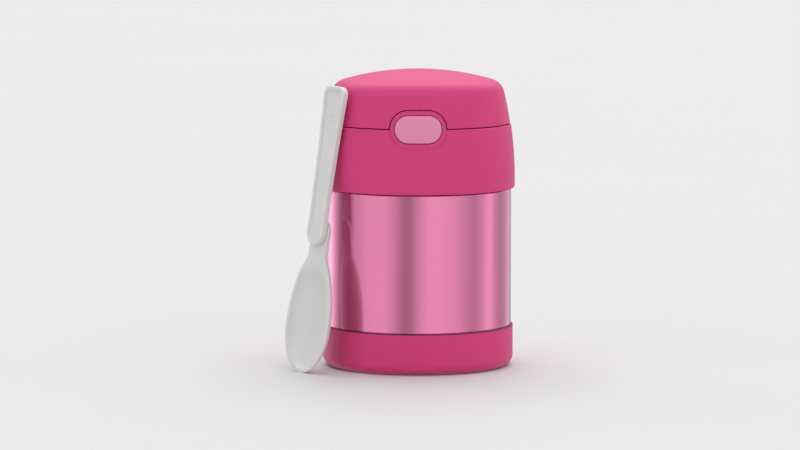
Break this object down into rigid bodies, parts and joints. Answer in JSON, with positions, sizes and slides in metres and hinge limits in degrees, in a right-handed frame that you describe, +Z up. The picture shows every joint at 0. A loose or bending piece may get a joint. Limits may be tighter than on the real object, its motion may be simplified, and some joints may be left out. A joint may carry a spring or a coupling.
{
  "type": "insulated food jar",
  "caption": "Round insulated food jar with a screw lid, a flip-up domed cover released by a front push button, and a folding spoon standing beside it.",
  "frame": {"origin": "centre of the jar's base, on the surface it stands on", "axes": "+Z up along the jar; -Y is the front, where the push button is; +X to the right"},
  "size_m": [0.1056, 0.0894, 0.1365],
  "materials": {
    "pink_steel": "translucent pink lacquer over satin steel",
    "bare_steel": "satin",
    "seal_metal": "matt",
    "pink_plastic": "fine satin moulding",
    "button_pink": "ribbed",
    "grey_plastic": "satin moulding",
    "clear_silicone": "milky silicone",
    "spring_steel": "drawn wire",
    "spoon_white": "satin moulding"
  },
  "bodies": {
    "jar": {"outer_shell": "pink_steel", "inner_liner": "bare_steel", "bottom_plate": "bare_steel", "vacuum_plug": "seal_metal", "getter_capsule": "seal_metal", "base_boot": "pink_plastic"},
    "lid_seal": {"lid_gasket": "clear_silicone"},
    "lid": {"lid_inner_cap": "grey_plastic", "lid_skirt": "pink_plastic", "spoon_tray": "grey_plastic", "hinge_pin": "bare_steel", "hinge_spring": "spring_steel", "button_spring": "spring_steel"},
    "cover": {"cover_shell": "pink_plastic", "cover_liner": "grey_plastic"},
    "button": {"button_cap": "button_pink", "button_slider": "grey_plastic"},
    "spoon": {"spoon_bowl": "spoon_white", "spoon_pivot_pin": "spoon_white"},
    "handle": {"spoon_handle": "spoon_white"}
  },
  "joints": [
    {"name": "lid_rise", "type": "slide", "parent": "jar", "child": "lid_seal", "axis": [0, 0, 1], "range_m": [0, 0.008]},
    {"name": "lid_turn", "type": "hinge", "parent": "lid_seal", "child": "lid", "pos_m": [0, 0, 0.0973], "axis": [0, 0, 1], "range_deg": [0, 360]},
    {"name": "cover_hinge", "type": "hinge", "parent": "lid", "child": "cover", "pos_m": [0, 0.0408, 0.11175], "axis": [-1, 0, 0], "range_deg": [0, 105], "deforming": ["hinge_spring"]},
    {"name": "button_press", "type": "slide", "parent": "lid", "child": "button", "axis": [0, 1, 0], "range_m": [0, 0.002], "stiffness_N_per_m": 400, "deforming": ["button_spring"]},
    {"name": "spoon_lift", "type": "slide", "parent": "jar", "child": "spoon", "axis": [0, 0, 1], "range_m": [0, 0.1]},
    {"name": "spoon_fold", "type": "hinge", "parent": "spoon", "child": "handle", "pos_m": [-0.04504, -0.02696, 0.06351], "axis": [-0.7537, -0.6404, 0.1479], "range_deg": [0, 180]}
  ],
  "couplings": [
    {"joint": "lid_rise", "follows": "lid_turn", "m_per_rad": 0.001273}
  ]
}
